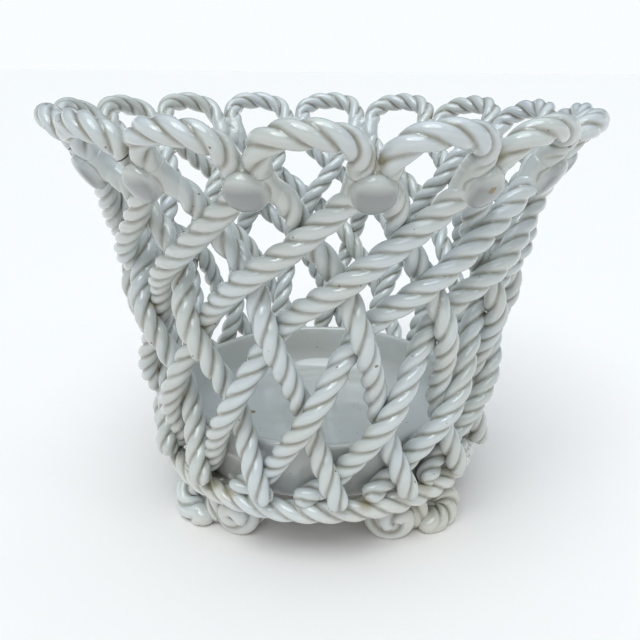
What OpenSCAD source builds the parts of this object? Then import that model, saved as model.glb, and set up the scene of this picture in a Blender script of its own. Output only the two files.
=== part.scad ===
// Openwork basket of crossed ceramic ropes on four knotted rope feet.
// The frame's origin is the centre of the floor under the feet, with +Z up.
// Angles are measured from the front (-Y) towards the right (+X).

/* [Lattice] */
// Number of rope pairs round the wall, and of loops round the rim
units = 16; // [12:4:16]
// Diameter of the ropes of the wall and of the base ring
rope_d = 12.5; // [9:0.5:13]
// Diameter of the rope that the rim loops are bent from
loop_d = 12.6; // [9:0.1:13]
// Heights of a rope's top end, of its button and of the bend below it
neck_height = [240, 231, 221]; // [215:1:244]
// Heights of the five rows of crossings
cross_height = [203, 179, 148, 98, 55]; // [52:1:210]
// Height of the rope tips, on the base ring
tip_height = 44; // [42:1:50]
// Turn of a left rope at its neck heights, in lattice steps
left_neck = [0.115, 0.13, 0.28]; // [0.1:0.005:0.4]
// Turn of a right rope at its neck heights, in lattice steps
right_neck = [0.115, 0.115, 0.20]; // [0.1:0.005:0.4]
// Turn of a left rope at each row of crossings, in lattice steps
left_cross = [0.42, 0.80, 1.06, 1.41, 1.77]; // [0.4:0.01:1.8]
// Turn of a left rope at its tip, in lattice steps
left_tip = 1.90; // [1.7:0.01:1.95]
// Turn of a right rope at its tip, in lattice steps
right_tip = 3.76; // [3.4:0.02:4]
// Distance between the wall's middle and a rope's middle at a crossing
weave_gap = 5.6; // [5:0.1:6.5]

/* [Wall] */
// Radius of the base ring's middle
ring_r = 101.5; // [90:0.5:110]
// Height of the base ring's middle
ring_height = 36; // [34:0.5:38]
// Widening of the wall for each millimetre of height
taper = 0.129; // [0.1:0.005:0.16]
// Height at which the wall starts to flare
flare_height = 190; // [180:1:200]
// Strength of the flare
flare = 0.0072; // [0.004:0.0002:0.008]

/* [Rim loops] */
// Height of a loop's middle line at its crown
crown_height = 254; // [246:1:258]
// Share of the lattice step between a loop's limb and its centre line, at the buttons
loop_foot = 0.385; // [0.36:0.005:0.4]

/* [Buttons] */
// Diameter of a button
button_d = 22; // [16:0.5:26]
// Depth of a button from its bed to the top of its dome
button_depth = 6; // [4:0.5:8]

/* [Dish] */
// Outer radius of the dish at its rim
dish_rim_r = 98; // [95:0.5:99]
// Height of the dish's rim
dish_rim_height = 77; // [72:1:80]
// Outer radius of the dish at its underside
dish_base_r = 91; // [84:0.5:92]
// Thickness of the dish's wall
dish_wall = 5; // [4:0.5:7]
// Thickness of the dish's floor
dish_floor = 7; // [4:0.5:9]
// Radius of the bend between the dish's wall and its floor, inside
dish_bend = 17; // [10:0.5:20]

/* [Feet] */
// Radius of the circle on which the feet stand
foot_r = 86; // [80:0.5:88]
// Radius of the curl at each end of a foot
foot_curl_r = 14.5; // [12:0.5:15]
// Distance of each curl from the middle of its foot
foot_curl_x = 17; // [11:0.5:18]
// Depth of a foot, from the outside in
foot_depth = 26; // [20:0.5:28]
// Turn of a foot away from the ring's direction, in degrees
foot_turn = 20; // [0:1:25]

/* [Hidden] */
step = 360 / units;
rope_r = rope_d / 2;
rope_sides = 8;
cuts_per_row = 3;
loop_cuts = 16;
button_height = neck_height[1];
dish_under = ring_height + 1;
foot_count = 4;
fine = 96;

// A rope's control heights from top to tip, and its turn at each of them
rope_height = concat(neck_height, cross_height, [tip_height]);
left_turn = concat(left_neck, left_cross, [left_tip]);
// The right rope of a button meets the left rope of the button n steps back at row n
right_cross = [for (i = [0:len(left_cross) - 1]) i + 1 - left_cross[i]];
right_turn = concat(right_neck, right_cross, [right_tip]);
rows = len(rope_height) - 1;

// Side of the wall that a rope passes on at each height: 1 outside, -1 inside
right_weave = [0, 0, 0.5, 1, 1, -1, 1, -1, 0.1];
left_weave = [0, 0, -0.5, -1, -1, 1, -1, 1, 1];

// A loop's limb from its foot to its crown and one point past it: share of the step, share of the rise
limb = [[loop_foot, 0], [0.375, 0.3], [0.315, 0.66], [0.18, 0.92], [0, 1], [-0.18, 0.92]];
crown = 4;

function two_digits(i) = str(i < 10 ? "0" : "", i);
function numbered(name, count) = [for (i = [1:count]) str(name, "_", two_digits(i))];

// Radius of the middle of the wall at a height
function wall_r(z) = ring_r + taper * (z - ring_height) + flare * pow(max(0, z - flare_height), 2);

// Lean of the wall from the vertical at a height, in degrees
function wall_lean(z) = atan(taper + 2 * flare * max(0, z - flare_height));

// Smooth curve through a list, where t runs from 0 to the list's last index
function item(list, i) =
    i < 0 ? 2 * list[0] - list[1]
    : i >= len(list) ? 2 * list[len(list) - 1] - list[len(list) - 2]
    : list[i];
function smooth(list, t) =
    let (i = min(floor(t), len(list) - 2), f = t - i)
    let (a = item(list, i - 1), b = item(list, i), c = item(list, i + 1), d = item(list, i + 2))
    (2 * b + (c - a) * f + (2 * a - 5 * b + 4 * c - d) * f * f + (3 * b - a - 3 * c + d) * f * f * f) / 2;

// Point at an angle from the front, a radius and a height
function polar(a, r, z) = [r * sin(a), -r * cos(a), z];

// Angle of a button, from 1 to units
function button_angle(i) = (i - 0.5) * step;

// Middle line of a rope that starts at an angle and turns to one side
function rope_point(a, side, turn, weave, t) =
    let (z = smooth(rope_height, t))
    polar(a + side * step * smooth(turn, t), wall_r(z) + weave_gap * smooth(weave, t), z);
function rope_path(a, side, turn, weave) =
    [for (k = [0:rows * cuts_per_row]) rope_point(a, side, turn, weave, k / cuts_per_row)];

// Middle line of a rim loop round its centre angle
function loop_point(a, t) =
    let (p = smooth(limb, crown * (1 - abs(t))))
    let (z = neck_height[0] + p[1] * (crown_height - neck_height[0]))
    polar(a + sign(t) * step * p[0], wall_r(z), z);
function loop_path(a) = [for (k = [0:loop_cuts]) loop_point(a, 2 * k / loop_cuts - 1)];

function unit(v) = v / norm(v);
function outward(p) = unit([p[0], p[1], 0]);

// Closed round tube along a path
module tube(path, r) {
    last = len(path) - 1;
    sides = rope_sides;
    rings = [for (k = [0:last])
        let (ahead = unit(path[min(k + 1, last)] - path[max(k - 1, 0)]))
        let (across = unit(cross(ahead, outward(path[k]))))
        let (up = cross(across, ahead))
        for (j = [0:sides - 1])
            path[k] + r * (cos(360 * j / sides) * across + sin(360 * j / sides) * up)];
    walls = [for (k = [0:last - 1], j = [0:sides - 1])
        [k * sides + j, (k + 1) * sides + j,
         (k + 1) * sides + (j + 1) % sides, k * sides + (j + 1) % sides]];
    polyhedron(concat(rings, [path[0], path[last]]), concat(
        [for (w = walls) each [[w[0], w[1], w[2]], [w[0], w[2], w[3]]]],
        [for (j = [0:sides - 1]) [len(rings), j, (j + 1) % sides]],
        [for (j = [0:sides - 1]) [len(rings) + 1, last * sides + (j + 1) % sides, last * sides + j]]
    ), convexity = 6);
}

// A rope that falls to the left of its button, seen from outside
module rope_right(i) {
    color("whitesmoke") tube(rope_path(button_angle(i), -1, right_turn, right_weave), rope_r);
}

// A rope that falls to the right of its button, seen from outside
module rope_left(i) {
    color("ghostwhite") tube(rope_path(button_angle(i), 1, left_turn, left_weave), rope_r);
}

// An arch of rope between two buttons, leaning out with the flare
module rim_loop(i) {
    color("white") tube(loop_path(i * step), loop_d / 2);
}

// Low dome that covers the touching ropes
module button() {
    dome_r = 26;
    rotate_extrude($fn = fine) intersection() {
        translate([0, button_depth - dome_r]) circle(r = dome_r, $fn = 4 * fine);
        square([button_d / 2, button_depth]);
    }
}

module joint_buttons() {
    sink = 2.5;
    bed = rope_r - sink;
    lean = wall_lean(button_height);
    out = wall_r(button_height) + bed * cos(lean);
    for (i = [1:units])
        color("gainsboro")
        translate(polar(button_angle(i), out, button_height - bed * sin(lean)))
        rotate([0, 0, button_angle(i)])
        rotate([90 + lean, 0, 0])
        button();
}

module base_ring() {
    color("whitesmoke") translate([0, 0, ring_height])
    rotate_extrude($fn = 2 * fine) translate([ring_r, 0]) circle(r = rope_r, $fn = fine);
}

// Shallow dish that closes the bottom inside the ropes
module dish() {
    bend_cuts = 6;
    floor_height = dish_under + dish_floor;
    widening = (dish_rim_r - dish_base_r) / (dish_rim_height - dish_under);
    tilt = atan(widening);
    inner_rim_r = dish_rim_r - dish_wall;
    inner_floor_r = inner_rim_r - (dish_rim_height - floor_height) * widening;
    bend_r = inner_floor_r + dish_bend * (widening - 1 / cos(tilt));
    bend = [for (k = [0:bend_cuts])
        let (a = (90 - tilt) * (1 - k / bend_cuts))
        [bend_r + dish_bend * sin(a), floor_height + dish_bend * (1 - cos(a))]];
    color("white") rotate_extrude($fn = 2 * fine) polygon(concat(
        [[0, dish_under], [dish_base_r, dish_under], [dish_rim_r, dish_rim_height]],
        [[inner_rim_r, dish_rim_height]],
        bend,
        [[0, floor_height]]
    ));
}

// Foot of rope knotted into two curls, with a flat sole
module foot_knot() {
    sole_cut = 0.5;
    reach = foot_curl_x + foot_curl_r;
    intersection() {
        union() {
            for (side = [-1, 1])
                translate([side * foot_curl_x, foot_depth / 2, foot_curl_r - sole_cut])
                rotate([90, 0, 0])
                cylinder(r = foot_curl_r, h = foot_depth, $fn = fine);
            cylinder(d = foot_depth, h = dish_under, $fn = fine);
        }
        translate([-reach, -foot_depth / 2, 0]) cube([2 * reach, foot_depth, dish_under]);
    }
}

// Neighbouring feet turn opposite ways
module foot(i) {
    a = (i - 0.5) * 360 / foot_count;
    turn = i % 2 == 0 ? foot_turn : -foot_turn;
    color("whitesmoke") translate(polar(a, foot_r, 0)) rotate([0, 0, a + turn]) foot_knot();
}

for (i = [1:units])
    rope_right(i);
for (i = [1:units])
    rope_left(i);
for (i = [1:units])
    rim_loop(i);
joint_buttons();
base_ring();
dish();
for (i = [1:foot_count])
    foot(i);
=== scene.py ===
import math
import random

import bpy
import numpy as np
from mathutils import Matrix, Vector, noise


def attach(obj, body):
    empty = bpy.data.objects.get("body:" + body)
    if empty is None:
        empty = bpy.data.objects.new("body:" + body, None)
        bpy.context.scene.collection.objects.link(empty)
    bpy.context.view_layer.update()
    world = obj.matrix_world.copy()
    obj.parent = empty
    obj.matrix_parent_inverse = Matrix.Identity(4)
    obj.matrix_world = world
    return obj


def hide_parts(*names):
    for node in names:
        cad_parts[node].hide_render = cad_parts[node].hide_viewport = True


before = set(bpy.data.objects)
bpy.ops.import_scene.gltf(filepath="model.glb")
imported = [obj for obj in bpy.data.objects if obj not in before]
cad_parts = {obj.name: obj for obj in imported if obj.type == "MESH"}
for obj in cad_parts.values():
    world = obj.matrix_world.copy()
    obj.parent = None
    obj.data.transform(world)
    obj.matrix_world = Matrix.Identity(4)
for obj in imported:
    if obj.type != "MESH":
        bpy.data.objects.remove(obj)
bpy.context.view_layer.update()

# A white glazed ceramic basket of crossed three-strand ropes, with a looped rim, buttons over
# the joints, a dish inside, a rope ring round the base and four knotted rope feet.
# Lengths are millimetres until a mesh is made, in the same frame as the CAD.
# Angles are degrees from the front (-Y) towards the right (+X).

MM = 0.001
BODY = "root"

# ---- Sizes, the same as the CAD source's -------------------------------------------------

UNITS = 16                           # rope pairs round the wall, and loops round the rim
STEP = 360 / UNITS
ROPE_R = 6.25                        # ropes of the wall and of the base ring
LOOP_R = 6.3                         # the rope that the rim loops are bent from
NECK_HEIGHT = [240, 231, 221]        # a rope's top end, its button and the bend below it
CROSS_HEIGHT = [203, 179, 148, 98, 55]    # the five rows of crossings
TIP_HEIGHT = 44                      # the rope tips, on the base ring
LEFT_NECK = [0.115, 0.13, 0.28]      # turn of a left rope at its neck heights, in lattice steps
RIGHT_NECK = [0.115, 0.115, 0.20]    # the same for a right rope
LEFT_CROSS = [0.42, 0.80, 1.06, 1.41, 1.77]    # turn of a left rope at each row of crossings
LEFT_TIP = 1.90                      # turn of a left rope at its tip
RIGHT_TIP = 3.76                     # turn of a right rope at its tip
WEAVE_GAP = 5.6                      # from the wall's middle to a rope's middle at a crossing
RING_R = 101.5                       # the base ring's middle
RING_HEIGHT = 36
TAPER = 0.129                        # widening of the wall for each millimetre of height
FLARE_HEIGHT = 190                   # where the wall starts to flare
FLARE = 0.0072                       # how strongly it does
CROWN_HEIGHT = 254                   # a loop's middle line at its crown
BUTTON_R = 11
DISH_RIM_R = 98
DISH_RIM_HEIGHT = 77
DISH_BASE_R = 91
DISH_WALL = 5
DISH_UNDER = 37                      # height of the dish's underside
DISH_FLOOR = 7                       # thickness of its floor
DISH_BEND = 17                       # radius of the bend between its wall and its floor, inside
FOOT_COUNT = 4
FOOT_R = 86                          # the circle on which the feet stand
FOOT_CURL_X = 17                     # from a curl's middle to the middle of its foot
FOOT_CURL_R = 14.5
FOOT_SOLE_CUT = 0.5                  # how far the curls are flattened on the floor
FOOT_TURN = 20                       # turn of a foot away from the ring's direction

# A loop's limb from its foot to its crown and one point past it: share of the step, share of the rise
LIMB = [(0.385, 0), (0.375, 0.3), (0.315, 0.66), (0.18, 0.92), (0, 1), (-0.18, 0.92)]
CROWN = 4

# A right rope meets the left rope of the button n steps back at row n
ROPE_HEIGHT = NECK_HEIGHT + CROSS_HEIGHT + [TIP_HEIGHT]
LEFT_TURN = LEFT_NECK + LEFT_CROSS + [LEFT_TIP]
RIGHT_TURN = RIGHT_NECK + [n + 1 - turn for n, turn in enumerate(LEFT_CROSS)] + [RIGHT_TIP]

# Side of the wall that a rope passes on at each height: 1 outside, -1 inside
RIGHT_WEAVE = [0, 0, 0.5, 1, 1, -1, 1, -1, 0.1]
LEFT_WEAVE = [0, 0, -0.5, -1, -1, 1, -1, 1, 1]

# ---- The ropes' own look -----------------------------------------------------------------

STRANDS = 3
TWIST_LENGTH = 39             # one full turn of a strand
LOOP_TWIST = 42               # the same on the rim's thicker rope
RING_TWIST = 44               # the same on the looser rope of the base ring
TWIST_SPREAD = (0.93, 1.08)   # how much shorter or longer the turns of one rope may be
PHASES = (0, 6.28)            # angles at which a rope's strands may start, in radians
PLUMP = 1.09                  # the strands' crowns stand this much proud of the plain rope
GROOVE = 0.38                 # depth of the groove between strands, as a share of the radius
LOBE_FLOOR = 0.012            # keeps the bottom of a groove from being a sharp crease
LOBE_POWER = 0.34             # makes a strand's crown broad and the groove narrow
NECKING = 0.17                # how much a rope thins where its strands are smeared away
LOBE_CUTS = 11                # points across one strand
RING_GAP = 1.35               # distance between the rings of points along a rope
END_DEPTH = 0.9               # depth of a rope's round end, as a share of the radius
END_CUTS = 6                  # rings over a round end
SWELL = 0.025                 # how much a hand-rolled rope thickens and thins along its length
SWELL_LENGTH = 26             # distance over which it does
WANDER = 0.55                 # how far a hand-laid wall rope strays from its line
LOOP_WANDER = 0.5             # the same for a rim loop
RING_WANDER = 0.4             # the same for the base ring
WANDER_LENGTH = 34            # distance over which a rope strays

# ---- The joints' own look ----------------------------------------------------------------

LOOP_TUCK = 12                # length of a loop's foot that runs on under a button
SMEARED = 0.12                # how marked the strands still are where they are smeared smooth
RIGHT_FADE = (11, 9)          # where a right rope's strands start to show, and over what length
LEFT_FADE = (17, 15, 1.3)     # the same for a left rope, with how slowly they start
LOOP_FADE = (6, 10, 0.8)      # the same from either end of a loop
SLEEVE_START = 4              # distance of a neck's coat of clay from the rope's top end
SLEEVE_GAP = 0.8              # distance between its rings of points
RIGHT_SLEEVE = 21             # where it ends on a right rope
LEFT_SLEEVE = 27              # where it ends on a left rope
SLEEVE_FULL = 1.04            # its radius beside the button, as a share of the rope's
SLEEVE_LOSS = 0.27            # how much of that it has lost where it ends
SLEEVE_HOLD = 7               # distance from the button's middle over which it stays full
SLEEVE_SUNK = 20              # distance at which it has sunk into the rope
SLEEVE_POWER = 1.2            # how slowly it starts to sink
LUMPS = [(6, (5, 6, 5)), (-4, (7, 7, 5))]    # clay pressed in: height from the button, radii
POOL_AND_SHADE_SPREAD = 3               # distance of the points where glaze pools and shade is painted from the middle of a joint
POOL_AND_SHADE_REACH = 6.5              # how far the pooled glaze and painted shade spread round each of them

# A button's outline from its bed to its top: share of the radius, height
BUTTON_OUTLINE = [(0.3, 1.0), (0.84, 1.0), (0.92, 2.4), (0.97, 4.6), (0.98, 6.8), (0.95, 8.5),
                  (0.88, 9.8), (0.76, 10.7), (0.57, 11.3), (0.32, 11.7), (0.15, 11.85), (0.03, 11.9)]
BUTTON_SHAPE = (0.95, 1.05)   # a button is pressed a little narrower than high
BUTTON_TILT = 0.5             # how far a button's face may tilt at its side
FACE_START = 7.5              # height above the ropes' middles at which the painted shade on a button's face starts
SEAM_TOP = 6.8                # height of the line between a button and its ropes
SEAM_WIDTH = 0.7              # half the width of that line
VOXEL = 0.75                  # fineness with which a joint's clay is blended
SOFTENING = (0.6, 6)          # strength and number of passes of the smoothing after that

# ---- The dish's and the feet's own look --------------------------------------------------

DISH_CORNERS = [4, 2.4, 2.4, DISH_BEND]    # roundness of its corners, from the underside to the floor
DISH_GAP = 4                  # distance between points of the dish's outline
DISH_WAVE = (0.35, 28)        # height and length of the waves in its hand-made surface
DISH_RIPPLE = (0.1, 9)        # the same for the small ripples
FOOT_ROPE_R = 8.2
FOOT_WRAP_R = 6.4
FOOT_TWIST = 34               # one full turn of a strand on the blunt curl
SCROLL_TWIST = 95             # the strands run almost along the rolled curl
LOBE_FADE = (5, 9)            # where the strands stop before the blunt end, and over what length
CURL_HEIGHT = FOOT_CURL_R - FOOT_SOLE_CUT
BLUNT_X = FOOT_CURL_X - 2.5   # distance of the blunt curl from the foot's middle
BLUNT_WIDE = 1.3              # how much wider than high the blunt curl is
BLUNT_TURN = (-60, 300)       # where the blunt curl starts, from its top, and how far it turns
SCROLL_TURN = (-40, 560)      # the same for the rolled curl

# Radii of the curls from start to end, and how far forward of the foot's middle they run
BLUNT_RADII = [6.4, 8.0, 8.2, 8.4, 10.5]
BLUNT_FORWARD = [-4.6, -3, 2, 6, 10]
SCROLL_RADII = [6.4, 6.8, 6.8, 7.2, 6.4, 3.6, 1.2]
SCROLL_FORWARD = [-4.6, -3, 2, 6, 8, 8.2, 8.4]

WRAP_HEIGHT = 18              # height of the middle of the turn of rope that ties a foot
WRAP_REACH = (1.2, 6.2, 11.4)    # how far it goes sideways, in and out, and up and down
WRAP_LEAN = 0.7               # how much its sideways swing runs ahead, in radians

# Outline of the clay between a foot's curls: radius, height
FOOT_CORE = [(0.5, 3), (9, 4), (11, 12), (10, 22), (12, 30), (13, DISH_UNDER + 0.4), (0.5, DISH_UNDER + 0.6)]
CORE_GROOVE = 0.6             # that clay is as olive as a shallow groove: pooled glaze and painted shade between the curls
SOLE_GAP = 0.02               # height of the flattened soles above the floor

# ---- Wear and damage ---------------------------------------------------------------------

CRACKED = (14, 15)            # buttons at which a loop has parted from the joint
CRACK_RISE = 2.4              # how far above the loop's end the crack is
CRACK_WIDTH = (0.3, 0.55)     # half widths at which its dark middle ends and its edge fades out
CRACK_REACH = (8.8, 9.4)      # the same, outwards from the rope's middle
CRACK_DRIFT = 1.4             # how far it strays to and fro
BUTTON_CHIPS = [((82.5, -125.5, 227.3), 2.2)]    # place and size
DISH_CHIPS = [((-49, 5, 44), 2.6), ((-52, 1, 44), 1.3)]


# ---- Lines ---------------------------------------------------------------------------------

def wall_r(z):
    """Radius of the middle of the wall at a height."""
    return RING_R + TAPER * (z - RING_HEIGHT) + FLARE * max(0, z - FLARE_HEIGHT) ** 2


def wall_lean(z):
    """Lean of the wall from the vertical at a height, in radians."""
    return math.atan(TAPER + 2 * FLARE * max(0, z - FLARE_HEIGHT))


def polar(angle, r, z):
    """Point at an angle from the front, a radius and a height."""
    a = math.radians(angle)
    return np.array([r * math.sin(a), -r * math.cos(a), z])


def item(points, i):
    """A point of the list, or one that carries it on straight past its ends."""
    if i < 0:
        return 2 * points[0] - points[1]
    if i >= len(points):
        return 2 * points[-1] - points[-2]
    return points[i]


def smooth(values, t):
    """Smooth curve through a list, where t runs from 0 to the list's last index."""
    points = np.asarray(values, float)
    i = min(int(t), len(points) - 2)
    f = t - i
    a, b, c, d = (item(points, i + k) for k in (-1, 0, 1, 2))
    curve = 2 * b + (c - a) * f + (2 * a - 5 * b + 4 * c - d) * f ** 2
    return (curve + (3 * b - a - 3 * c + d) * f ** 3) / 2


def rope_line(button, side, turn, weave, count=400):
    """Middle line of a wall rope, from neck to tip. side is 1 for a left rope and -1 for a right one."""
    start = (button - 0.5) * STEP
    line = []
    for t in np.linspace(0, len(ROPE_HEIGHT) - 1, count):
        z = smooth(ROPE_HEIGHT, t)
        out = wall_r(z) + WEAVE_GAP * smooth(weave, t)
        line.append(polar(start + side * STEP * smooth(turn, t), out, z))
    return np.array(line)


def right_line(button):
    """Middle line of the rope that falls to the left of its button, seen from outside."""
    return rope_line(button, -1, RIGHT_TURN, RIGHT_WEAVE)


def left_line(button):
    """Middle line of the rope that falls to the right of its button, seen from outside."""
    return rope_line(button, 1, LEFT_TURN, LEFT_WEAVE)


def loop_line(loop, count=160):
    """Middle line of a rim loop, between its two feet."""
    line = []
    for t in np.linspace(-1, 1, count):
        share, rise = smooth(LIMB, CROWN * (1 - abs(t)))
        z = NECK_HEIGHT[0] + rise * (CROWN_HEIGHT - NECK_HEIGHT[0])
        line.append(polar(loop * STEP + math.copysign(STEP * share, t), wall_r(z), z))
    return np.array(line)


def tucked_loop_line(loop):
    """A rim loop's middle line that runs on at both feet, down the ropes and under the buttons."""
    first, second = left_line(loop), right_line(loop % UNITS + 1)
    first = first[lengths(first) < LOOP_TUCK]
    second = second[lengths(second) < LOOP_TUCK]
    return np.concatenate([first[:0:-1], loop_line(loop), second[1:]])


def ring_line(count=721):
    """Middle line of the base ring, closed."""
    return np.array([polar(a, RING_R, RING_HEIGHT) for a in np.linspace(0, 360, count)])


def wandered(line, seed, amount=WANDER, closed=False):
    """The line with slow sideways drifts, as a hand lays a soft rope. Its ends stay put."""
    shift = Vector((seed * 7.31, seed * 3.17, 0))
    moved = []
    for i, p in enumerate(line):
        u = i / (len(line) - 1)
        hold = 1.0 if closed else math.sin(math.pi * u) ** 0.5
        n = noise.noise_vector(Vector(p) / WANDER_LENGTH + shift)
        moved.append(p + amount * hold * np.array(n))
    if closed:
        moved[-1] = moved[0]
    return np.array(moved)


# ---- Rope meshes ---------------------------------------------------------------------------

def unit(v):
    """The vectors at length 1."""
    return v / np.linalg.norm(v, axis=-1, keepdims=True)


def lengths(line):
    """Distance of each point of a line from its start, along the line."""
    return np.concatenate([[0], np.cumsum(np.linalg.norm(np.diff(line, axis=0), axis=1))])


def points_at(line, s):
    """Points of a line at distances along it."""
    dist = lengths(line)
    return np.stack([np.interp(s, dist, line[:, k]) for k in range(3)], axis=1)


def square_to(ahead, out):
    """The outward directions, turned square to the way ahead."""
    return unit(out - ahead * np.sum(out * ahead, axis=1, keepdims=True))


def spokes(angle, out, across):
    """Directions at angles round a line, from outward towards across."""
    return np.cos(angle)[:, None] * out + np.sin(angle)[:, None] * across


def rounding(share):
    """How full a round end is at a share of its depth."""
    return np.sqrt(np.clip(1 - np.clip(1 - share, 0, 1) ** 2, 0.004, 1))


def stations(total, radius, round_start, round_end):
    """Distances of the rings along a rope, and how full each is: a round end closes over its last stretch."""
    cap = radius * END_DEPTH
    steps = np.sin(np.linspace(0, math.pi / 2, END_CUTS))
    first = cap * (1 - steps[::-1]) if round_start else np.array([0.0])
    last = total - cap * (1 - steps) if round_end else np.array([total])
    middle = np.linspace(first[-1], last[0], max(3, int((last[0] - first[-1]) / RING_GAP)))
    s = np.concatenate([first[:-1], middle, last[1:]])
    full = np.ones(len(s))
    if round_start:
        full = np.minimum(full, rounding(s / cap))
    if round_end:
        full = np.minimum(full, rounding((total - s) / cap))
    return s, full


def rope_rings(line, radius, phase, twisted, seed, round_start=True, round_end=True, closed=False,
               outward=None, twist=TWIST_LENGTH):
    """Points of a three-strand rope along a line, ring by ring, with each point's groove depth.

    twisted(s, total) says how marked the strands are at a distance along the rope, from 0 to 1.
    """
    total = lengths(line)[-1]
    s, full = stations(total, radius, round_start, round_end)
    centre = points_at(line, s)
    ahead = unit(np.stack([np.gradient(centre[:, k], s) for k in range(3)], axis=1))
    if closed:
        ahead[0] = ahead[-1] = unit(centre[1] - centre[-2])
    out = square_to(ahead, outward(centre) if outward else centre * np.array([1, 1, 0]))
    across = np.cross(ahead, out)
    turns = round(total / twist) if closed else total / twist
    count = STRANDS * LOBE_CUTS
    around = np.arange(count) * 2 * math.pi / count
    lobe = (np.cos(STRANDS / 2 * (around + math.pi / 3)) ** 2 + LOBE_FLOOR) ** LOBE_POWER
    marked = np.array([twisted(x, total) for x in s])
    rings, grooves = [], []
    for k in range(len(s)):
        angle = around + phase + 2 * math.pi * turns * s[k] / total
        thickness = 1 + SWELL * noise.noise(Vector((s[k] / SWELL_LENGTH, seed * 1.7, 0)))
        depth = GROOVE * marked[k]
        section = 1 - depth + depth * lobe - NECKING * (1 - marked[k])
        r = PLUMP * radius * thickness * full[k] * section
        rings.append(centre[k] + r[:, None] * spokes(angle, out[k], across[k]))
        grooves.append((1 - lobe / lobe.max()) * marked[k])
    return np.array(rings), np.array(grooves)


def band(low, high, count):
    """Faces between two rings of points, which start at the numbers low and high."""
    after = [(j + 1) % count for j in range(count)]
    return [(low + j, low + after[j], high + after[j], high + j) for j in range(count)]


def skin(rings, closed=False):
    """Vertices and faces over rings of points, with a fan at each open end."""
    n_rings, count = rings.shape[:2]
    if closed:
        rings = rings[:-1]
        n_rings -= 1
    verts = rings.reshape(-1, 3)
    faces = []
    for k in range(n_rings if closed else n_rings - 1):
        faces += band(k * count, ((k + 1) % n_rings) * count, count)
    if not closed:
        ends = np.array([rings[0].mean(axis=0), rings[-1].mean(axis=0)])
        base = len(verts)
        verts = np.concatenate([verts, ends])
        last = (n_rings - 1) * count
        faces += [(base, (j + 1) % count, j) for j in range(count)]
        faces += [(base + 1, last + j, last + (j + 1) % count) for j in range(count)]
    return verts, faces


def appearing(s, start, stretch, power=1.0):
    """0 up to a distance, rising to 1 over a stretch."""
    return float(np.clip((s - start) / stretch, 0, 1)) ** power


def always(s, total):
    """The strands are fully marked all along."""
    return 1.0


def below_right_neck(s, total):
    """A right rope is smeared smooth only under its button."""
    return SMEARED + (1 - SMEARED) * appearing(s, *RIGHT_FADE)


def below_left_neck(s, total):
    """A left rope stays smooth for a while below its button."""
    return SMEARED + (1 - SMEARED) * appearing(s, *LEFT_FADE)


def above_neck(s, total):
    """A loop is smeared smooth where its two feet run under the buttons."""
    return appearing(min(s, total - s), *LOOP_FADE)


# ---- Where pieces touch, for the glaze that pools and the shade painted there --------------

def touching_points():
    """Middles of the joints: crossings, loop sides, buttons and rope tips on the ring."""
    points = []
    for button in range(1, UNITS + 1):
        start = (button - 0.5) * STEP
        for turn, z in zip(LEFT_CROSS, CROSS_HEIGHT):
            points.append(polar(start + turn * STEP, wall_r(z), z))
        for z in (NECK_HEIGHT[0] + POOL_AND_SHADE_SPREAD, NECK_HEIGHT[0] - POOL_AND_SHADE_SPREAD):
            points.append(polar(start, wall_r(z), z))
        for turn in (LEFT_TIP, -RIGHT_TIP):
            points.append(polar(start + turn * STEP, RING_R + POOL_AND_SHADE_SPREAD, RING_HEIGHT + ROPE_R))
    return np.array(points)


TOUCHING = touching_points()


def joint_nearness_for_pool_and_shade(points):
    """How close each point is to a joint, from 0 to 1, for the pooled glaze and painted shade there."""
    best = np.zeros(len(points))
    for joint in TOUCHING:
        d2 = np.sum((points - joint) ** 2, axis=1)
        best = np.maximum(best, np.exp(-d2 / POOL_AND_SHADE_REACH ** 2))
    return best


# ---- Objects -------------------------------------------------------------------------------

def mesh_points(mesh):
    """The mesh's points in millimetres."""
    co = np.zeros(len(mesh.vertices) * 3)
    mesh.vertices.foreach_get("co", co)
    return co.reshape(-1, 3) / MM


def set_mark(mesh, name, values):
    """Store one number for each point, in place of any old ones."""
    old = mesh.attributes.get(name)
    if old:
        mesh.attributes.remove(old)
    mesh.attributes.new(name, "FLOAT", "POINT").data.foreach_set("value", values)


def mesh_object(name, verts, faces, groove=None):
    """A smooth-shaded mesh in metres, carrying where its glaze pools and where shade is painted."""
    verts = np.asarray(verts, float)
    mesh = bpy.data.meshes.new(name)
    mesh.from_pydata((verts * MM).tolist(), [], faces)
    mesh.polygons.foreach_set("use_smooth", [True] * len(mesh.polygons))
    set_mark(mesh, "groove", np.zeros(len(verts)) if groove is None else groove)
    set_mark(mesh, "joint", joint_nearness_for_pool_and_shade(verts))
    obj = bpy.data.objects.new(name, mesh)
    bpy.context.scene.collection.objects.link(obj)
    return obj


def belongs(obj, node, material):
    """The piece stands in for a CAD node, which is hidden, takes its glaze, and rides on the body."""
    obj.data.materials.clear()
    obj.data.materials.append(material)
    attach(obj, BODY)
    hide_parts(node)


def rope_object(name, line, radius, phase, twisted, seed, **ends):
    """A rope along a line. The rest is for rope_rings."""
    rings, grooves = rope_rings(line, radius, phase, twisted, seed, **ends)
    closed = ends.get("closed", False)
    verts, faces = skin(rings, closed)
    groove = grooves[:-1].reshape(-1) if closed else np.concatenate([grooves.reshape(-1), [0, 0]])
    return mesh_object(name, verts, faces, groove)


def merged(parts):
    """Several (vertices, faces) as one."""
    verts, faces, start = [], [], 0
    for part_verts, part_faces in parts:
        verts.append(part_verts)
        faces += [tuple(v + start for v in face) for face in part_faces]
        start += len(part_verts)
    return np.concatenate(verts), faces


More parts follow.
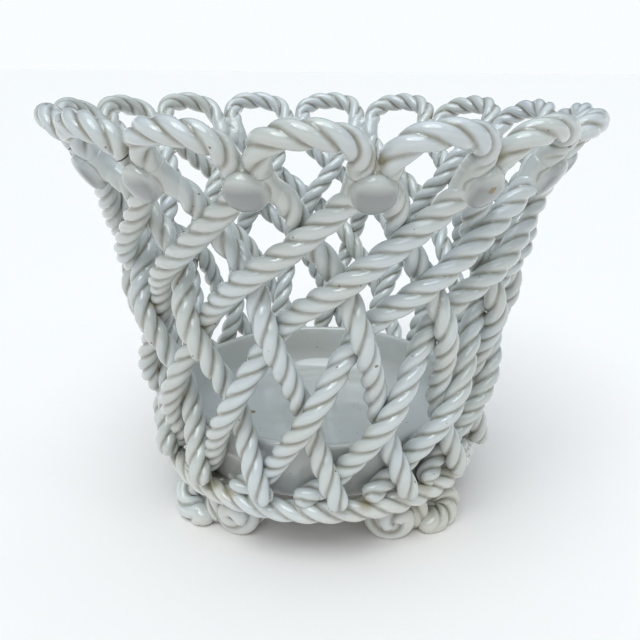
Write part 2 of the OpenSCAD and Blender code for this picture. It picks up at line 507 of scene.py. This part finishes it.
def turned(profile, cuts):
    """Closed surface of revolution about Z from (radius, height) points."""
    verts, faces = [], []
    for r, z in profile:
        for a in np.arange(cuts) * 2 * math.pi / cuts:
            verts.append((r * math.cos(a), r * math.sin(a), z))
    for k in range(len(profile) - 1):
        faces += band(k * cuts, (k + 1) * cuts, cuts)
    last = (len(profile) - 1) * cuts
    faces.append(tuple(range(cuts - 1, -1, -1)))
    faces.append(tuple(last + j for j in range(cuts)))
    return np.array(verts, float), faces


def placed(verts, origin, x_axis, y_axis, z_axis):
    """Points given along three axes, moved to an origin."""
    return origin + verts[:, :1] * x_axis + verts[:, 1:2] * y_axis + verts[:, 2:3] * z_axis


# ---- Materials -----------------------------------------------------------------------------

def node(tree, kind, **inputs):
    """A shader node with some of its inputs set. An underscore in a name stands for a space."""
    made = tree.nodes.new(kind)
    for key, value in inputs.items():
        made.inputs[key.replace("_", " ")].default_value = value
    return made


def attribute(tree, name):
    """A number that the mesh carries at each point."""
    made = tree.nodes.new("ShaderNodeAttribute")
    made.attribute_name = name
    return made.outputs["Fac"]


def noise_node(tree, coords, scale, detail=3.0, rough=0.5):
    """Cloudy noise from 0 to 1. A higher scale makes it finer."""
    made = node(tree, "ShaderNodeTexNoise", Scale=scale, Detail=detail, Roughness=rough)
    tree.links.new(coords, made.inputs["Vector"])
    return made.outputs["Fac"]


def ramp(tree, value, low, high, to_low=0.0, to_high=1.0):
    """value from low..high to to_low..to_high, clamped."""
    made = tree.nodes.new("ShaderNodeMapRange")
    made.interpolation_type = "SMOOTHSTEP"
    tree.links.new(value, made.inputs["Value"])
    for key, number in zip(("From Min", "From Max", "To Min", "To Max"), (low, high, to_low, to_high)):
        made.inputs[key].default_value = number
    return made.outputs["Result"]


def maths(tree, operation, a, b=0.0):
    """One sum on two values. Each is a number or another node's output."""
    made = tree.nodes.new("ShaderNodeMath")
    made.operation = operation
    for socket, value in zip(made.inputs, (a, b)):
        if isinstance(value, (int, float)):
            socket.default_value = value
        else:
            tree.links.new(value, socket)
    return made.outputs["Value"]


def blend_colour(tree, share, a, b):
    """Colour a, turning to colour b by a share. Each is a tuple or another node's output."""
    made = tree.nodes.new("ShaderNodeMix")
    made.data_type = "RGBA"
    tree.links.new(share, made.inputs["Factor"])
    for socket, value in zip((made.inputs[6], made.inputs[7]), (a, b)):
        if isinstance(value, tuple):
            socket.default_value = (*value, 1)
        else:
            tree.links.new(value, socket)
    return made.outputs[2]


def stain_and_shade(tree, share, strength, under, colour):
    """A colour laid over another by a share, up to a strength, for stains and for painted shade."""
    return blend_colour(tree, maths(tree, "MULTIPLY", share, strength), under, colour)


def against(tree, operation, coords, vector):
    """The number that a vector operation gives for the coordinates and a fixed vector."""
    made = tree.nodes.new("ShaderNodeVectorMath")
    made.operation = operation
    tree.links.new(coords, made.inputs[0])
    made.inputs[1].default_value = vector
    return made.outputs["Value"]


def distance_from(tree, coords, place):
    """Distance in metres from a place in millimetres."""
    return against(tree, "DISTANCE", coords, [c * MM for c in place])


def spot(tree, coords, place, size):
    """1 inside a ragged spot of a size round a place in millimetres, 0 outside it."""
    inner, outer = 1.6 * size * MM, 1.9 * size * MM
    ragged = maths(tree, "MULTIPLY", noise_node(tree, coords, 900 / size), inner)
    away = maths(tree, "ADD", distance_from(tree, coords, place), ragged)
    return ramp(tree, away, inner, outer, 1.0, 0.0)


def parting(tree, coords, place, ahead):
    """1 inside a hairline gap across a rope at a place in millimetres, 0 outside it."""
    drift = CRACK_DRIFT * MM
    uneven = maths(tree, "MULTIPLY", noise_node(tree, coords, 150), drift)
    along = maths(tree, "ADD", against(tree, "DOT_PRODUCT", coords, ahead), uneven)
    middle = float(np.dot(place, ahead)) * MM + drift / 2
    gap = maths(tree, "ABSOLUTE", maths(tree, "SUBTRACT", along, middle))
    thin = ramp(tree, gap, CRACK_WIDTH[0] * MM, CRACK_WIDTH[1] * MM, 1.0, 0.0)
    away = distance_from(tree, coords, place)
    near = ramp(tree, away, CRACK_REACH[0] * MM, CRACK_REACH[1] * MM, 1.0, 0.0)
    return maths(tree, "MULTIPLY", thin, near)


# The first two are the olive of glaze pooled in grooves and at joints, made darker as painted shade in the
# creases and crossings; the rest are real specks, chips and cracks.
GROOVE_POOL_AND_SHADE = (0.22, 0.20, 0.14)
JOINT_POOL_AND_SHADE = (0.34, 0.29, 0.17)
SPECK_BROWN = (0.16, 0.10, 0.05)
CHIP_BROWN = (0.20, 0.12, 0.03)
CRACK_BLACK = (0.012, 0.01, 0.008)


def pooled_glaze_and_shade_mask(tree, name, low, high, patch, patch_low, patch_high, least):
    """How thickly the glaze pools, and how deep the painted shade lies, where the mesh carries a mark, patch
    by patch.
    """
    marked = ramp(tree, attribute(tree, name), low, high)
    return maths(tree, "MULTIPLY", marked, ramp(tree, patch, patch_low, patch_high, least, 1.0))


def glaze_colour(tree, coords, patch, white, warm, pool_shade_strength, speck, chips, cracks, button_face_shade):
    """Clouded white that is olive where it pools and where shade is painted in grooves and at joints, darker
    where shade is painted low on a button's face, with specks, chips and cracks.
    """
    cloud = noise_node(tree, coords, 18, 4, 0.55)
    dots = noise_node(tree, coords, 260, 1, 0.5)
    colour = blend_colour(tree, ramp(tree, cloud, 0.35, 0.65), white, warm)
    # Painted shade low on a button's downward face, which little light reaches
    if button_face_shade:
        colour = blend_colour(tree, attribute(tree, "face"), colour, button_face_shade)
    # Pooled glaze and painted shade in the ropes' grooves and along a button's seam
    groove_pool_shade = pooled_glaze_and_shade_mask(tree, "groove", 0.2, 0.8, patch, 0.3, 0.6, 0.6)
    colour = stain_and_shade(tree, groove_pool_shade, 0.85 * pool_shade_strength, colour, GROOVE_POOL_AND_SHADE)
    # Pooled glaze and painted shade where pieces meet at the joints
    joint_pool_shade = pooled_glaze_and_shade_mask(tree, "joint", 0.25, 0.95, patch, 0.38, 0.62, 0.15)
    colour = stain_and_shade(tree, joint_pool_shade, 0.8 * pool_shade_strength, colour, JOINT_POOL_AND_SHADE)
    colour = stain_and_shade(tree, ramp(tree, dots, 0.765, 0.79), 0.8 * speck, colour, SPECK_BROWN)
    for place, size in chips:
        colour = stain_and_shade(tree, spot(tree, coords, place, size), 0.9, colour, CHIP_BROWN)
    for place, ahead in cracks:
        colour = blend_colour(tree, parting(tree, coords, place, ahead), colour, CRACK_BLACK)
    return colour


def glaze(name, white, warm, pool_shade_strength=1.0, speck=1.0, chips=(), cracks=(), button_face_shade=None):
    """White glaze over hand-worked clay, clouded between two tones.

    The pool strength sets how strongly it pools and how dark the painted shade is in grooves and at joints,
    speck how strongly it is specked, and the face tone is painted shade low on a button's downward face.
    """
    made = bpy.data.materials.new(name)
    made.use_nodes = True
    tree = made.node_tree
    shader = tree.nodes["Principled BSDF"]
    coords = tree.nodes.new("ShaderNodeTexCoord").outputs["Object"]
    patch = noise_node(tree, coords, 55, 5, 0.6)
    grain = noise_node(tree, coords, 700, 2, 0.5)

    colour = glaze_colour(tree, coords, patch, white, warm, pool_shade_strength, speck, chips, cracks, button_face_shade)
    tree.links.new(colour, shader.inputs["Base Color"])
    tree.links.new(ramp(tree, patch, 0.3, 0.7, 0.09, 0.2), shader.inputs["Roughness"])
    shader.inputs["IOR"].default_value = 1.52
    shader.inputs["Coat Weight"].default_value = 0.8
    shader.inputs["Coat Roughness"].default_value = 0.04

    height = maths(tree, "ADD", maths(tree, "MULTIPLY", patch, 0.75), maths(tree, "MULTIPLY", grain, 0.06))
    bump = node(tree, "ShaderNodeBump", Strength=0.35, Distance=0.0006)
    tree.links.new(height, bump.inputs["Height"])
    tree.links.new(bump.outputs["Normal"], shader.inputs["Normal"])
    return made


def crack_at(button):
    """Where a loop's foot has parted from the joint by a hair, and the loop's direction there."""
    line = loop_line(button - 1)
    down = unit(line[-1] - line[-3])
    return line[-1] - CRACK_RISE * down, down


CRACKS = [crack_at(button) for button in CRACKED]

# One white glaze on every part, its whites set lighter or darker part by part as painted light and shade:
# darker on the rim loops, on the buttons and their necks, and most of all on the dish inside; lighter on the
# ring and the feet. The buttons' face tone is painted shade on their downward faces.
rope_glaze = glaze("rope_glaze", white=(0.59, 0.62, 0.62), warm=(0.565, 0.575, 0.535))
rim_glaze = glaze("rim_glaze", white=(0.56, 0.585, 0.585), warm=(0.54, 0.55, 0.51), pool_shade_strength=1.1, cracks=CRACKS)
button_glaze = glaze("button_glaze", white=(0.54, 0.565, 0.56), warm=(0.52, 0.53, 0.49), pool_shade_strength=0.8, speck=0.0,
                     chips=BUTTON_CHIPS, cracks=CRACKS, button_face_shade=(0.26, 0.27, 0.26))
ring_glaze = glaze("ring_glaze", white=(0.63, 0.65, 0.645), warm=(0.64, 0.635, 0.57))
dish_glaze = glaze("dish_glaze", white=(0.50, 0.515, 0.51), warm=(0.465, 0.465, 0.435), pool_shade_strength=0.6, speck=0.6,
                   chips=DISH_CHIPS)
foot_glaze = glaze("foot_glaze", white=(0.68, 0.70, 0.69), warm=(0.62, 0.605, 0.52), pool_shade_strength=1.1)


# ---- Pieces --------------------------------------------------------------------------------

# Blender's vector noise takes the time as its seed unless it is given one
SEED = 11
dice = random.Random(SEED)
noise.seed_set(SEED)


def make_wall_rope(name, node_name, line, fading, seed):
    """A rope of the wall, with a phase and a twist of its own."""
    strayed = wandered(line, seed)
    phase = dice.uniform(*PHASES)
    twist = TWIST_LENGTH * dice.uniform(*TWIST_SPREAD)
    rope = rope_object(name, strayed, ROPE_R, phase, fading, seed, twist=twist)
    belongs(rope, node_name, rope_glaze)


def make_ropes():
    for button in range(1, UNITS + 1):
        label = f"{button:02d}"
        make_wall_rope(f"twisted_right_{label}", f"rope_right_{label}", right_line(button),
                       below_right_neck, button + 20)
        make_wall_rope(f"twisted_left_{label}", f"rope_left_{label}", left_line(button),
                       below_left_neck, button + 40)


def make_loops():
    for loop in range(1, UNITS + 1):
        seed = loop + 70
        line = wandered(tucked_loop_line(loop), seed, LOOP_WANDER)
        phase = dice.uniform(*PHASES)
        twist = LOOP_TWIST * dice.uniform(*TWIST_SPREAD)
        rope = rope_object(f"twisted_loop_{loop:02d}", line, LOOP_R, phase, above_neck, seed, twist=twist)
        belongs(rope, f"rim_loop_{loop:02d}", rim_glaze)


def make_ring():
    phase, seed = 0.4, 5
    line = wandered(ring_line(), seed, RING_WANDER, closed=True)
    ring = rope_object("twisted_ring", line, ROPE_R, phase, always, seed,
                       round_start=False, round_end=False, closed=True, twist=RING_TWIST)
    belongs(ring, "base_ring", ring_glaze)


def sleeve(line, middle, radius, cuts=20):
    """A smooth coat of clay over a rope's neck, which sinks into the rope away from the button's middle."""
    ahead = unit(np.gradient(line, axis=0))
    out = square_to(ahead, line * np.array([1, 1, 0]))
    across = np.cross(ahead, out)
    around = np.arange(cuts) * 2 * math.pi / cuts
    away = np.linalg.norm(line - middle, axis=1)
    sunk = np.clip((away - SLEEVE_HOLD) / (SLEEVE_SUNK - SLEEVE_HOLD), 0, 1) ** SLEEVE_POWER
    r = radius * (SLEEVE_FULL - SLEEVE_LOSS * sunk)
    return skin(np.array([line[k] + r[k] * spokes(around, out[k], across[k]) for k in range(len(line))]))


def neck_line(rope, end):
    """The stretch of a rope from just above its button's middle to the end of its coat of clay."""
    return points_at(rope, np.arange(SLEEVE_START, end, SLEEVE_GAP))


def button_disc(button):
    """A pressed disc of clay: upright side, soft edge, low dome, slightly uneven outline."""
    verts, faces = turned([(BUTTON_R * r, z) for r, z in BUTTON_OUTLINE], 40)
    a = np.arctan2(verts[:, 1], verts[:, 0])
    uneven = 1 + 0.035 * np.sin(2 * a + button * 2.1) + 0.025 * np.sin(3 * a + button * 1.3)
    verts[:, 0] *= uneven * BUTTON_SHAPE[0]
    verts[:, 1] *= uneven * BUTTON_SHAPE[1]
    above_bed = verts[:, 2] > 3
    verts[:, 2] += BUTTON_TILT * np.sin(button * 1.9) * verts[:, 0] / BUTTON_R * above_bed
    return verts, faces


def lump(middle, radii, axes):
    """A soft ellipsoid of clay pressed into a gap."""
    profile = [(math.sin(a), -math.cos(a)) for a in np.linspace(0.05, math.pi - 0.05, 12)]
    verts, faces = turned(profile, 20)
    return placed(verts * np.array(radii), middle, *axes), faces


def button_axes(angle):
    """Sideways, up and outwards on the wall at a button."""
    lean = wall_lean(NECK_HEIGHT[1])
    out = polar(angle, 1, 0)
    normal = out * math.cos(lean) - np.array([0, 0, math.sin(lean)])
    sideways = np.array([-out[1], out[0], 0])
    return sideways, np.cross(normal, sideways), normal


def joint_parts(button, middle, axes):
    """A button with all the clay round it: lumps above and below, and coats on its two ropes."""
    angle = (button - 0.5) * STEP
    verts, faces = button_disc(button)
    parts = [(placed(verts, middle, *axes), faces)]
    for rise, radii in LUMPS:
        z = NECK_HEIGHT[1] + rise
        parts.append(lump(polar(angle, wall_r(z), z), radii, axes))
    for line in (neck_line(right_line(button), RIGHT_SLEEVE), neck_line(left_line(button), LEFT_SLEEVE)):
        parts.append(sleeve(line, middle, ROPE_R))
    return parts


def blend_clay(obj):
    """Modifiers that join overlapping clay into one smooth skin."""
    blended = obj.modifiers.new("blend", "REMESH")
    blended.mode = "VOXEL"
    blended.voxel_size = VOXEL * MM
    softened = obj.modifiers.new("soften", "SMOOTH")
    softened.factor, softened.iterations = SOFTENING


def make_buttons():
    for button in range(1, UNITS + 1):
        angle = (button - 0.5) * STEP
        axes = button_axes(angle)
        middle = polar(angle, wall_r(NECK_HEIGHT[1]), NECK_HEIGHT[1])
        joint = mesh_object(f"button_{button:02d}", *merged(joint_parts(button, middle, axes)))
        blend_clay(joint)
        # The groove mark lays pooled glaze and a painted contact shadow along the seam, the face mark painted
        # shade low on the face, and the joint mark pooled glaze and painted shade near the joints
        bake_modifiers(joint, {"groove": lambda points: seam(points, middle, axes),
                               "face": lambda points: disc_face_shade_mask(points, middle, axes),
                               "joint": joint_nearness_for_pool_and_shade})
        belongs(joint, "joint_buttons", button_glaze)


def disc_face_shade_mask(points, middle, axes):
    """Painted shade on a button's downward face: 1 low on it, falling to 0 down its side and towards its top.
    """
    sideways, up, out = ((points - middle) @ np.array(axes).T).T
    inside = np.clip((BUTTON_R + 0.5 - np.hypot(sideways, up)) / 2, 0, 1)
    low = np.clip((0.9 * BUTTON_R - up) / (0.6 * BUTTON_R), 0, 1)
    return inside * low * np.clip((out - FACE_START) / 3, 0, 1)


def seam(points, middle, axes):
    """The line where a button's side meets the ropes under it, from 0 to 1: pooled glaze and a painted
    contact shadow.
    """
    sideways, up, out = ((points - middle) @ np.array(axes).T).T
    beside = np.exp(-((np.hypot(sideways, up) - BUTTON_R) / SEAM_WIDTH) ** 2)
    return 0.8 * beside * np.clip((SEAM_TOP - out) / 1.5, 0, 1) * (out > 1)


def bake_modifiers(obj, marks):
    """The modifiers' result becomes the mesh, with a mark for each function of its points."""
    bpy.context.view_layer.update()
    graph = bpy.context.evaluated_depsgraph_get()
    mesh = bpy.data.meshes.new_from_object(obj.evaluated_get(graph))
    obj.modifiers.clear()
    obj.data = mesh
    mesh.polygons.foreach_set("use_smooth", [True] * len(mesh.polygons))
    points = mesh_points(mesh)
    for name, mark in marks.items():
        set_mark(mesh, name, mark(points))


def fillet(corner_a, corner, corner_b, radius, cuts=8):
    """Points of a rounded corner between two straight edges."""
    a = unit(np.subtract(corner_a, corner))
    b = unit(np.subtract(corner_b, corner))
    half = math.acos(float(np.clip(a @ b, -1, 1))) / 2
    middle = corner + unit(a + b) * radius / math.sin(half)
    start = corner + a * radius / math.tan(half) - middle
    end = corner + b * radius / math.tan(half) - middle
    sweep = math.pi - 2 * half
    points = []
    for t in np.linspace(0, 1, cuts):
        arm = math.sin((1 - t) * sweep) * start + math.sin(t * sweep) * end
        points.append(tuple(middle + arm / math.sin(sweep)))
    return points


def dish_outline():
    """The dish's outline from the middle of its underside to the middle of its floor."""
    axis_r = 0.5
    floor = DISH_UNDER + DISH_FLOOR
    widening = (DISH_RIM_R - DISH_BASE_R) / (DISH_RIM_HEIGHT - DISH_UNDER)
    inner_rim_r = DISH_RIM_R - DISH_WALL
    inner_floor_r = inner_rim_r - (DISH_RIM_HEIGHT - floor) * widening
    corners = [(axis_r, DISH_UNDER), (DISH_BASE_R, DISH_UNDER), (DISH_RIM_R, DISH_RIM_HEIGHT),
               (inner_rim_r, DISH_RIM_HEIGHT), (inner_floor_r, floor), (axis_r, floor)]
    outline = [corners[0]]
    for k, radius in enumerate(DISH_CORNERS, start=1):
        outline += fillet(corners[k - 1], np.array(corners[k]), corners[k + 1], radius)
    return outline + [corners[-1]]


def filled_in(outline, gap):
    """The outline with points added along its long edges."""
    dense = []
    for a, b in zip(outline, outline[1:]):
        cuts = max(1, int(np.hypot(b[0] - a[0], b[1] - a[1]) / gap))
        dense += [tuple(np.add(a, np.subtract(b, a) * t)) for t in np.arange(cuts) / cuts]
    return dense + [outline[-1]]


def make_dish():
    verts, faces = turned(filled_in(dish_outline(), DISH_GAP), 160)
    for v in verts:
        wave, ripple = (height * np.array(noise.noise_vector(Vector(v) / length))
                        for height, length in (DISH_WAVE, DISH_RIPPLE))
        v += wave + ripple
    dish = mesh_object("glazed_dish", verts, faces)
    belongs(dish, "dish", dish_glaze)


def curl_line(side, middle, wide, turn, radii, forward, count=140):
    """Rope that turns about a curl's middle, from one radius and depth to another.

    turn is the angle from the top where it starts and how far it turns, both in degrees.
    """
    start, sweep = turn
    line = []
    for u in np.linspace(0, 1, count):
        angle = math.radians(start + sweep * u) * side
        r = smooth(radii, u * (len(radii) - 1))
        x = side * middle + wide * r * math.sin(angle)
        line.append((x, smooth(forward, u * (len(forward) - 1)), CURL_HEIGHT + r * math.cos(angle)))
    return np.array(line)


def blunt_line(side):
    """The blunt curl: round the outside, under, and up to a lobe in front of the foot's middle."""
    return curl_line(side, BLUNT_X, BLUNT_WIDE, BLUNT_TURN, BLUNT_RADII, BLUNT_FORWARD)


def before_lobe(s, total):
    """The strands of the blunt curl are smeared into a smooth lobe at its end."""
    return appearing(total - s, *LOBE_FADE)


def scroll_line(side):
    """The rolled curl: over one and a half turns that come forward and close on their own middle."""
    return curl_line(side, FOOT_CURL_X, 1.0, SCROLL_TURN, SCROLL_RADII, SCROLL_FORWARD)


def wrap_line(count=90):
    """The turn of rope that ties a foot's two curls together."""
    a = np.linspace(0, 2 * math.pi, count)
    sideways, out, up = WRAP_REACH
    return np.stack([sideways * np.sin(a + WRAP_LEAN), out * np.sin(a), WRAP_HEIGHT - up * np.cos(a)], axis=1)


def wrap_outward(centre):
    """Direction away from the middle of the turn of rope."""
    return unit(centre - np.array([0.3, 0, WRAP_HEIGHT]))


def curl_outward(side):
    """Direction away from the middle of a curl, for every point of its line."""
    middle = np.array([side * FOOT_CURL_X, 0, FOOT_CURL_R])
    return lambda centre: unit((centre - middle) * np.array([1, 0, 1]) + np.array([0, 1.5, 0]))


def foot_parts(foot, inner):
    """Parts of a foot, with the groove depth of their points. inner is the side of its rolled curl."""
    parts, grooves = [], []
    for side, line, marked, twist in ((-inner, blunt_line(-inner), before_lobe, FOOT_TWIST),
                                      (inner, scroll_line(inner), always, SCROLL_TWIST)):
        rings, groove = rope_rings(line, FOOT_ROPE_R, dice.uniform(*PHASES), marked, foot + 3 * side,
                                   outward=curl_outward(side), twist=twist)
        parts.append(skin(rings))
        grooves += [groove.reshape(-1), [0, 0]]
    rings, groove = rope_rings(wrap_line(), FOOT_WRAP_R, 1.0, always, foot, round_start=False,
                               round_end=False, closed=True, outward=wrap_outward, twist=SCROLL_TWIST)
    parts.append(skin(rings, closed=True))
    grooves.append(groove[:-1].reshape(-1))
    parts.append(turned(FOOT_CORE, 32))
    grooves.append(np.full(len(parts[-1][0]), CORE_GROOVE))
    return parts, np.concatenate(grooves)


def make_feet():
    """Neighbouring feet are mirrored, and turn opposite ways."""
    for foot in range(1, FOOT_COUNT + 1):
        angle = (foot - 0.5) * 360 / FOOT_COUNT
        inner = (-1) ** foot
        out = polar(angle + FOOT_TURN * inner, 1, 0)
        sideways = np.array([-out[1], out[0], 0])
        parts, grooves = foot_parts(foot, inner)
        verts, faces = merged(parts)
        verts = placed(verts, polar(angle, FOOT_R, 0), sideways, out, np.array([0, 0, 1.0]))
        verts[:, 2] = np.maximum(verts[:, 2], SOLE_GAP)
        obj = mesh_object(f"knot_foot_{foot:02d}", verts, faces, grooves)
        belongs(obj, f"foot_{foot:02d}", foot_glaze)


make_ropes()
make_loops()
make_ring()
make_buttons()
make_dish()
make_feet()


# ---- Floor, light and camera ---------------------------------------------------------------

FLOOR_COLOUR = (0.975, 0.915, 0.875)
SKY_LIGHT = (0.88, 0.96, 1.0)
GLINT_LIGHT = (0.93, 0.97, 1.0)
HORIZON = (0.95, 0.985, 1.0)
DIM_LOW = (0.24, 0.27, 0.30)
DIM_HIGH = (0.24, 0.28, 0.32)
ZENITH = (0.40, 0.46, 0.52)

# The surround's colours from level up to overhead
SKY_STOPS = [(0.0, HORIZON), (0.16, HORIZON), (0.28, DIM_LOW), (0.6, DIM_HIGH), (0.8, ZENITH)]


def plain_material(name, colour, roughness):
    made = bpy.data.materials.new(name)
    made.use_nodes = True
    shader = made.node_tree.nodes["Principled BSDF"]
    shader.inputs["Base Color"].default_value = (*colour, 1)
    shader.inputs["Roughness"].default_value = roughness
    return made


def make_floor():
    """A plain pale floor that runs on far past the camera's view, in metres."""
    half = 60.0
    corners = [(-half, -half, 0), (half, -half, 0), (half, half, 0), (-half, half, 0)]
    mesh = bpy.data.meshes.new("floor")
    mesh.from_pydata(corners, [], [(0, 1, 2, 3)])
    mesh.materials.append(plain_material("floor_paint", FLOOR_COLOUR, 0.8))
    floor = bpy.data.objects.new("floor", mesh)
    bpy.context.scene.collection.objects.link(floor)


def sun(name, power, width, tilt, turn, colour):
    """An even light from far off: tilt from straight overhead, leaning towards the turn's direction."""
    data = bpy.data.lights.new(name, "SUN")
    data.energy = power
    data.angle = math.radians(width)
    data.color = colour
    lamp = bpy.data.objects.new(name, data)
    place = Vector(polar(turn, math.sin(math.radians(tilt)), math.cos(math.radians(tilt))))
    lamp.rotation_euler = (-place).to_track_quat("-Z", "Y").to_euler()
    bpy.context.scene.collection.objects.link(lamp)


def sky(tree):
    """Studio surround: pale at the horizon like the floor, dimmer above it and brighter overhead."""
    coords = tree.nodes.new("ShaderNodeTexCoord").outputs["Generated"]
    split = tree.nodes.new("ShaderNodeSeparateXYZ")
    tree.links.new(coords, split.inputs[0])
    shade = tree.nodes.new("ShaderNodeValToRGB")
    tree.links.new(split.outputs["Z"], shade.inputs["Fac"])
    stops = shade.color_ramp.elements
    while len(stops) < len(SKY_STOPS):
        stops.new(0.5)
    for stop, (place, colour) in zip(stops, SKY_STOPS):
        stop.position = place
        stop.color = (*colour, 1)
    tree.links.new(shade.outputs["Color"], tree.nodes["Background"].inputs["Color"])


def make_light():
    sun("front_sky", power=1.75, width=50, tilt=30, turn=-14, colour=SKY_LIGHT)
    sun("overhead", power=0.55, width=60, tilt=10, turn=160, colour=SKY_LIGHT)
    sun("glint_left", power=0.16, width=12, tilt=38, turn=-35, colour=GLINT_LIGHT)
    sun("glint_right", power=0.09, width=9, tilt=48, turn=60, colour=GLINT_LIGHT)
    world = bpy.data.worlds.new("studio")
    world.use_nodes = True
    sky(world.node_tree)
    bpy.context.scene.world = world
    bpy.context.scene.view_settings.view_transform = "Standard"


def make_camera():
    """The photographer's view: from almost straight ahead, a little above the rim, looking down."""
    azimuth, distance, height, down, roll = 2.2, 447.6, 279.1, 18.28, 0.46
    data = bpy.data.cameras.new("camera")
    data.lens = 39.46
    data.sensor_width = 36
    data.shift_x = -0.0015
    data.shift_y = -0.0307
    data.clip_start = 0.01
    camera = bpy.data.objects.new("camera", data)
    camera.location = Vector(polar(azimuth, distance, height)) * MM
    around = Matrix.Rotation(math.radians(azimuth), 3, "Z")
    tipped = Matrix.Rotation(math.radians(90 - down), 3, "X")
    rolled = Matrix.Rotation(math.radians(roll), 3, "Z")
    camera.rotation_euler = (around @ tipped @ rolled).to_euler()
    bpy.context.scene.collection.objects.link(camera)
    bpy.context.scene.camera = camera


make_floor()
make_light()
make_camera()
